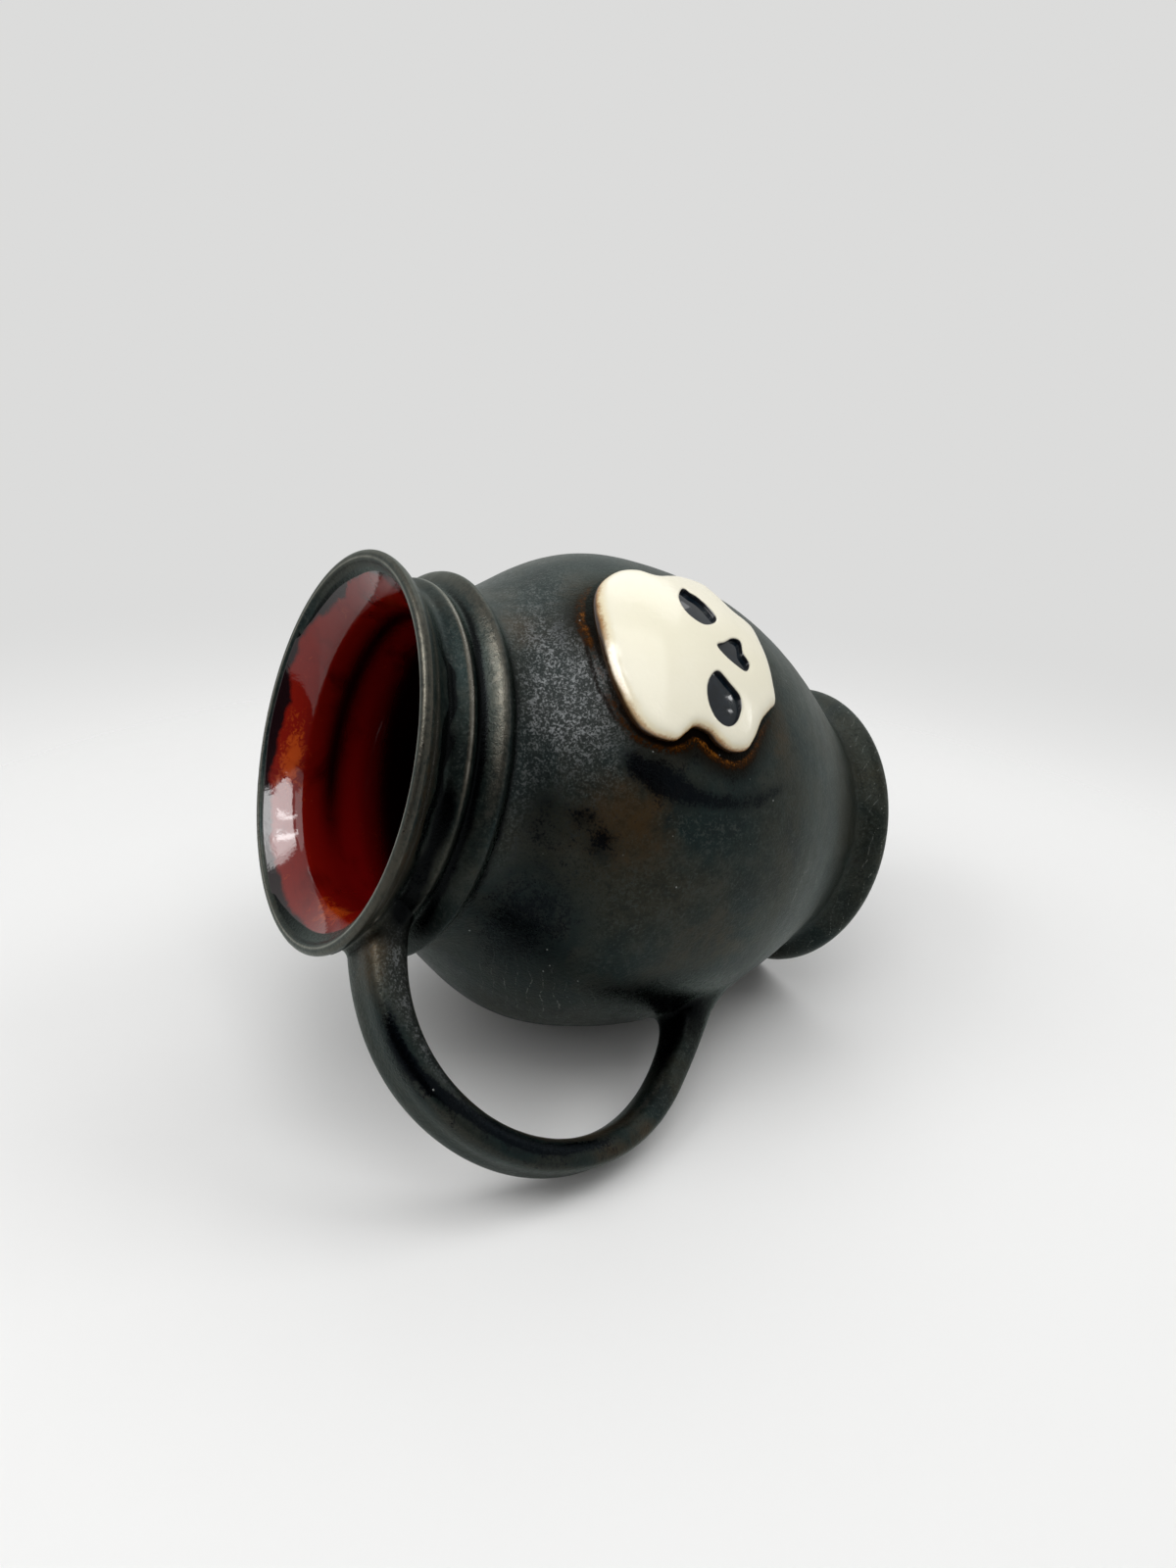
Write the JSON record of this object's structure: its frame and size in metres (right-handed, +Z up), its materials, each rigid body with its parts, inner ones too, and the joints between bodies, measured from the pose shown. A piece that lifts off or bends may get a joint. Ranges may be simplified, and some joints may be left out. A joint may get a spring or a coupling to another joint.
{
  "type": "skull mug",
  "caption": "Pot-bellied stoneware mug with a beaded collar, flared lip, strap handle and a raised skull relief on its side, for hot or cold drinks.",
  "frame": {"origin": "centre of the flat underside of the foot", "axes": "+Z up through the mouth, the handle points to -X, the skull faces about -Y"},
  "size_m": [0.1296, 0.102, 0.12],
  "materials": {
    "black_glaze": "satin gunmetal black glaze that breaks brown at the edges",
    "red_glaze": "thick glossy deep red glaze",
    "cream_glaze": "glossy cream glaze with burnt amber edges",
    "dark_glaze": "glossy blue-black glaze pooled in the sockets"
  },
  "bodies": {
    "root": {"thrown_body": "black_glaze", "liner_glaze": "red_glaze", "pulled_handle": "black_glaze", "upper_join_clay": "black_glaze", "lower_join_clay": "black_glaze", "skull_sprig": "cream_glaze", "left_eye_glaze": "dark_glaze", "right_eye_glaze": "dark_glaze", "nose_glaze": "dark_glaze"}
  },
  "joints": []
}
